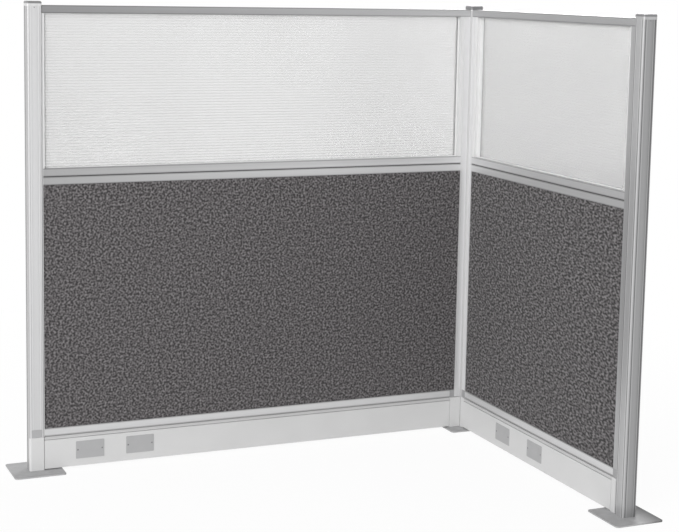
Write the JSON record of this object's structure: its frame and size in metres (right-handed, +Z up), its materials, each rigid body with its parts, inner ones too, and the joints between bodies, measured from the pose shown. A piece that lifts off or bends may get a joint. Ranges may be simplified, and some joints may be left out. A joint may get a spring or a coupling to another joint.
{
  "type": "cubicle workstation",
  "caption": "Corner of partition walls with aluminium posts, translucent windows over fabric panels and a cable raceway base with blank outlet plates.",
  "frame": {"origin": "on the floor, under the axis of the corner post", "axes": "+Z up; the long wall runs along -X and the short wall along -Y, so the inside of the workstation is where X and Y are both negative"},
  "size_m": [2.086, 1.476, 1.829],
  "materials": {
    "anodised_aluminium": "satin silver anodised, fine lengthwise grain",
    "foot_steel": "half-gloss plated steel",
    "screw_steel": "dark zinc",
    "fluted_polycarbonate": "milky translucent twin-wall sheet with horizontal flutes",
    "dark_gasket": "matt black strip",
    "mineral_board": "raw sound-absorbing fibre board",
    "speckled_fabric": "charcoal cloth with light and dark flecks",
    "raceway_finish": "satin light grey powder coat",
    "plate_plastic": "smooth mid grey",
    "block_plastic": "smooth mid grey"
  },
  "bodies": {
    "partition_frame": {"corner_post": "anodised_aluminium", "corner_foot_plate": "foot_steel", "long_end_post": "anodised_aluminium", "long_end_foot_plate": "foot_steel", "short_end_post": "anodised_aluminium", "short_end_foot_plate": "foot_steel", "post_slot_fillers": "anodised_aluminium", "foot_spigots": "foot_steel", "foot_bolts": "screw_steel", "cap_set_screws": "screw_steel", "long_top_rail": "anodised_aluminium", "long_window": "fluted_polycarbonate", "long_window_beads": "anodised_aluminium", "long_window_sill": "anodised_aluminium", "long_rail_gasket": "dark_gasket", "long_mid_rail": "anodised_aluminium", "long_corner_stile": "anodised_aluminium", "long_far_stile": "anodised_aluminium", "long_acoustic_core": "mineral_board", "long_bottom_rail": "anodised_aluminium", "long_raceway_hanger": "anodised_aluminium", "long_raceway_divider": "anodised_aluminium", "long_raceway_tray": "anodised_aluminium", "long_raceway_corner_end": "raceway_finish", "long_inner_fabric": "speckled_fabric", "long_outer_fabric": "speckled_fabric", "short_top_rail": "anodised_aluminium", "short_window": "fluted_polycarbonate", "short_window_beads": "anodised_aluminium", "short_window_sill": "anodised_aluminium", "short_rail_gasket": "dark_gasket", "short_mid_rail": "anodised_aluminium", "short_corner_stile": "anodised_aluminium", "short_far_stile": "anodised_aluminium", "short_acoustic_core": "mineral_board", "short_bottom_rail": "anodised_aluminium", "short_raceway_hanger": "anodised_aluminium", "short_raceway_divider": "anodised_aluminium", "short_raceway_tray": "anodised_aluminium", "short_raceway_corner_end": "raceway_finish", "short_inner_fabric": "speckled_fabric", "short_outer_fabric": "speckled_fabric", "short_raceway_far_end": "raceway_finish", "rail_end_blocks": "block_plastic", "raceway_screws": "screw_steel"},
    "long_inner_raceway_cover": {"long_inner_raceway_cover": "raceway_finish"},
    "long_inner_blank_plate_1": {"long_inner_blank_plate_1": "plate_plastic"},
    "long_inner_blank_plate_2": {"long_inner_blank_plate_2": "plate_plastic"},
    "long_outer_raceway_cover": {"long_outer_raceway_cover": "raceway_finish"},
    "long_outer_blank_plate_1": {"long_outer_blank_plate_1": "plate_plastic"},
    "long_outer_blank_plate_2": {"long_outer_blank_plate_2": "plate_plastic"},
    "short_inner_raceway_cover": {"short_inner_raceway_cover": "raceway_finish"},
    "short_inner_blank_plate_1": {"short_inner_blank_plate_1": "plate_plastic"},
    "short_inner_blank_plate_2": {"short_inner_blank_plate_2": "plate_plastic"},
    "short_outer_raceway_cover": {"short_outer_raceway_cover": "raceway_finish"},
    "short_outer_blank_plate_1": {"short_outer_blank_plate_1": "plate_plastic"},
    "short_outer_blank_plate_2": {"short_outer_blank_plate_2": "plate_plastic"},
    "corner_post_cap": {"corner_post_cap": "anodised_aluminium"},
    "long_end_post_cap": {"long_end_post_cap": "anodised_aluminium"},
    "short_end_post_cap": {"short_end_post_cap": "anodised_aluminium"}
  },
  "joints": [
    {"name": "long_inner_cover_tilt", "type": "hinge", "parent": "partition_frame", "child": "long_inner_raceway_cover", "pos_m": [-0.943, -0.02325, 0.1219], "axis": [-1, 0, 0], "range_deg": [0, 12]},
    {"name": "long_inner_plate_1_pull", "type": "slide", "parent": "long_inner_raceway_cover", "child": "long_inner_blank_plate_1", "axis": [0, -1, 0], "range_m": [0, 0.015]},
    {"name": "long_inner_plate_2_pull", "type": "slide", "parent": "long_inner_raceway_cover", "child": "long_inner_blank_plate_2", "axis": [0, -1, 0], "range_m": [0, 0.015]},
    {"name": "long_outer_cover_tilt", "type": "hinge", "parent": "partition_frame", "child": "long_outer_raceway_cover", "pos_m": [-0.943, 0.02325, 0.1219], "axis": [1, 0, 0], "range_deg": [0, 12]},
    {"name": "long_outer_plate_1_pull", "type": "slide", "parent": "long_outer_raceway_cover", "child": "long_outer_blank_plate_1", "axis": [0, 1, 0], "range_m": [0, 0.015]},
    {"name": "long_outer_plate_2_pull", "type": "slide", "parent": "long_outer_raceway_cover", "child": "long_outer_blank_plate_2", "axis": [0, 1, 0], "range_m": [0, 0.015]},
    {"name": "short_inner_cover_tilt", "type": "hinge", "parent": "partition_frame", "child": "short_inner_raceway_cover", "pos_m": [-0.02325, -0.638, 0.1219], "axis": [0, 1, 0], "range_deg": [0, 12]},
    {"name": "short_inner_plate_1_pull", "type": "slide", "parent": "short_inner_raceway_cover", "child": "short_inner_blank_plate_1", "axis": [-1, 0, 0], "range_m": [0, 0.015]},
    {"name": "short_inner_plate_2_pull", "type": "slide", "parent": "short_inner_raceway_cover", "child": "short_inner_blank_plate_2", "axis": [-1, 0, 0], "range_m": [0, 0.015]},
    {"name": "short_outer_cover_tilt", "type": "hinge", "parent": "partition_frame", "child": "short_outer_raceway_cover", "pos_m": [0.02325, -0.638, 0.1219], "axis": [0, -1, 0], "range_deg": [0, 12]},
    {"name": "short_outer_plate_1_pull", "type": "slide", "parent": "short_outer_raceway_cover", "child": "short_outer_blank_plate_1", "axis": [1, 0, 0], "range_m": [0, 0.015]},
    {"name": "short_outer_plate_2_pull", "type": "slide", "parent": "short_outer_raceway_cover", "child": "short_outer_blank_plate_2", "axis": [1, 0, 0], "range_m": [0, 0.015]},
    {"name": "corner_cap_lift", "type": "slide", "parent": "partition_frame", "child": "corner_post_cap", "axis": [0, 0, 1], "range_m": [0, 0.025]},
    {"name": "long_end_cap_lift", "type": "slide", "parent": "partition_frame", "child": "long_end_post_cap", "axis": [0, 0, 1], "range_m": [0, 0.025]},
    {"name": "short_end_cap_lift", "type": "slide", "parent": "partition_frame", "child": "short_end_post_cap", "axis": [0, 0, 1], "range_m": [0, 0.025]}
  ]
}
